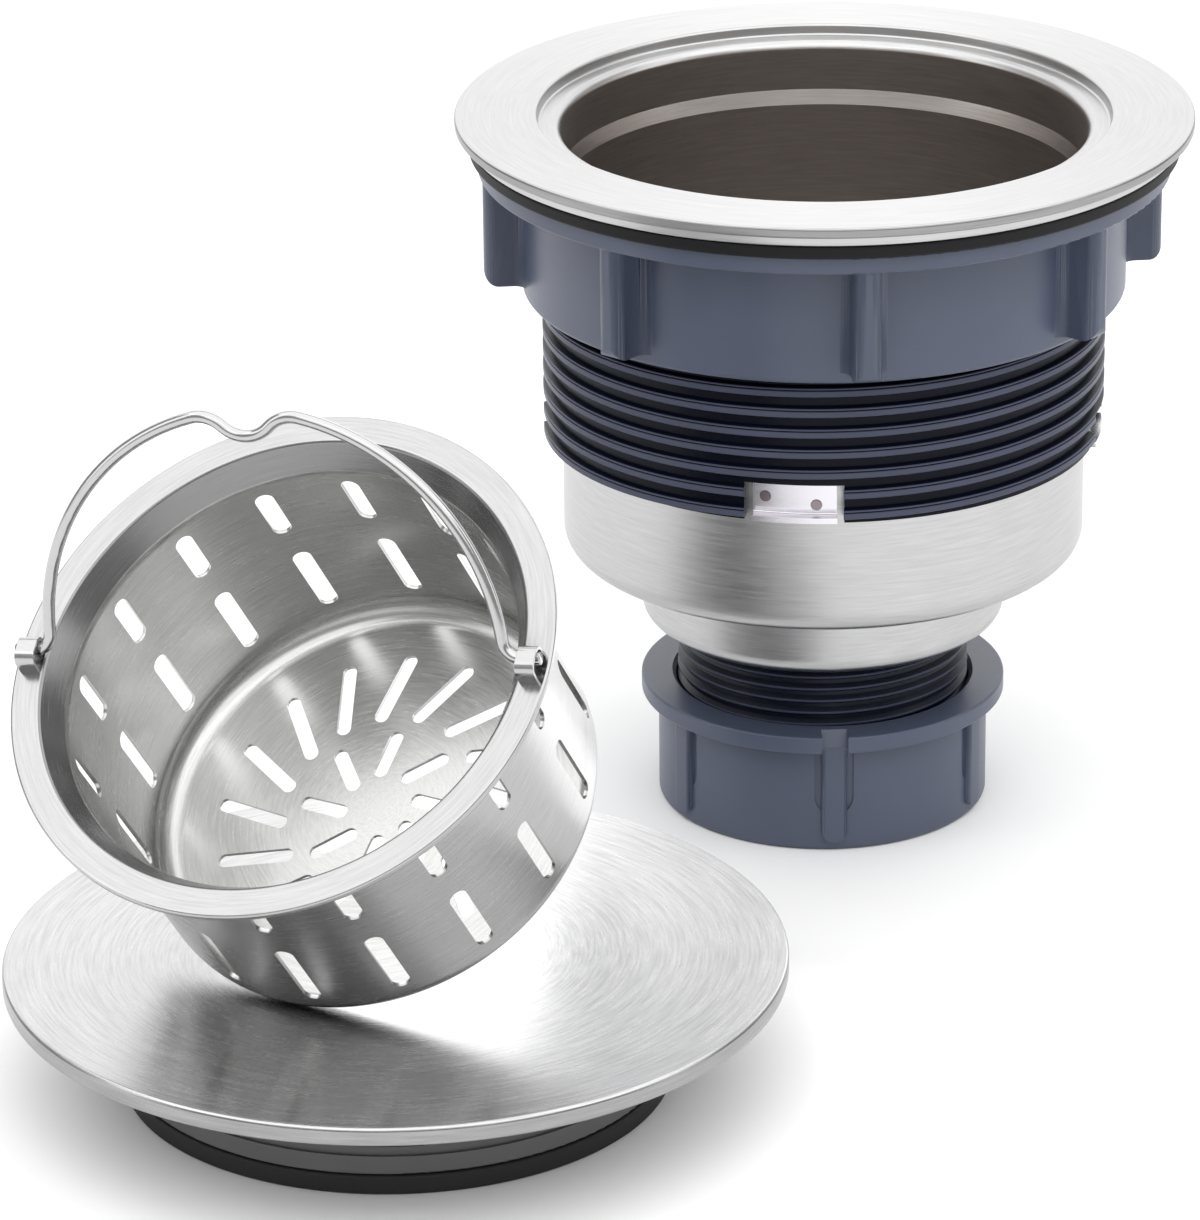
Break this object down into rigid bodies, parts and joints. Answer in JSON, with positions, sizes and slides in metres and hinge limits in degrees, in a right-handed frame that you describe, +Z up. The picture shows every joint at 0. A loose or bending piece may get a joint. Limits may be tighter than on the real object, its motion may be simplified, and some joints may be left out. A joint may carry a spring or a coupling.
{
  "type": "kitchen sink basket strainer waste",
  "caption": "Kitchen sink strainer waste with a flanged bowl, threaded sleeve and nuts, beside a round lid and a slotted lift-out basket with a swinging wire bail.",
  "frame": {"origin": "on the axis of the waste, at the foot of its coupling nut, where a tailpiece goes in", "axes": "+Z up along the axis of the waste towards the flange, -Y towards the front, where the lid and the basket lie, +X to the right seen from the front"},
  "size_m": [0.18, 0.2157, 0.1138],
  "materials": {
    "stainless_steel": "brushed and pressed stainless steel",
    "stainless_wire": "bright stainless wire",
    "slate_plastic": "moulded slate blue plastic, satin",
    "navy_plastic": "moulded dark navy plastic, threaded",
    "grey_plastic": "moulded grey plastic, matt",
    "white_plastic": "moulded white plastic",
    "black_rubber": "black rubber"
  },
  "bodies": {
    "waste_lid_and_basket": {"strainer_bowl": "stainless_steel", "threaded_sleeve": "navy_plastic", "stop_tab_1": "stainless_steel", "stop_tab_2": "stainless_steel", "stop_tab_3": "stainless_steel", "stop_tab_4": "stainless_steel", "outlet_nipple": "navy_plastic", "outlet_seal": "black_rubber", "lid_plate": "stainless_steel", "lid_holder_ring": "grey_plastic", "lid_seal_ring": "black_rubber", "lid_nut": "stainless_steel", "basket_cup": "stainless_steel", "bail_ear_right": "stainless_steel", "bail_ear_left": "stainless_steel"},
    "bail": {"bail_handle": "stainless_wire"},
    "gasket": {"sink_gasket": "black_rubber"},
    "lock_nut": {"lock_nut": "slate_plastic"},
    "slip_washer": {"slip_washer": "white_plastic"},
    "coupling_nut": {"coupling_nut": "slate_plastic"}
  },
  "joints": [
    {"name": "bail_swing", "type": "hinge", "parent": "waste_lid_and_basket", "child": "bail", "pos_m": [-0.08093, -0.11911, 0.07336], "axis": [0.931, -0.3464, 0.1148], "range_deg": [-48, 128]},
    {"name": "gasket_slide", "type": "slide", "parent": "waste_lid_and_basket", "child": "gasket", "axis": [0, 0, -1], "range_m": [0, 0.023]},
    {"name": "lock_nut_turn", "type": "hinge", "parent": "gasket", "child": "lock_nut", "pos_m": [0, 0, 0.0969], "axis": [0, 0, -1], "range_deg": [0, 2506.6]},
    {"name": "slip_washer_slide", "type": "slide", "parent": "waste_lid_and_basket", "child": "slip_washer", "axis": [0, 0, -1], "range_m": [0, 0.014]},
    {"name": "coupling_nut_turn", "type": "hinge", "parent": "slip_washer", "child": "coupling_nut", "pos_m": [0, 0, 0.01], "axis": [0, 0, -1], "range_deg": [0, 2517.5]}
  ],
  "couplings": [
    {"joint": "gasket_slide", "follows": "lock_nut_turn", "m_per_rad": 0.00052521},
    {"joint": "slip_washer_slide", "follows": "coupling_nut_turn", "m_per_rad": 0.00031831}
  ]
}
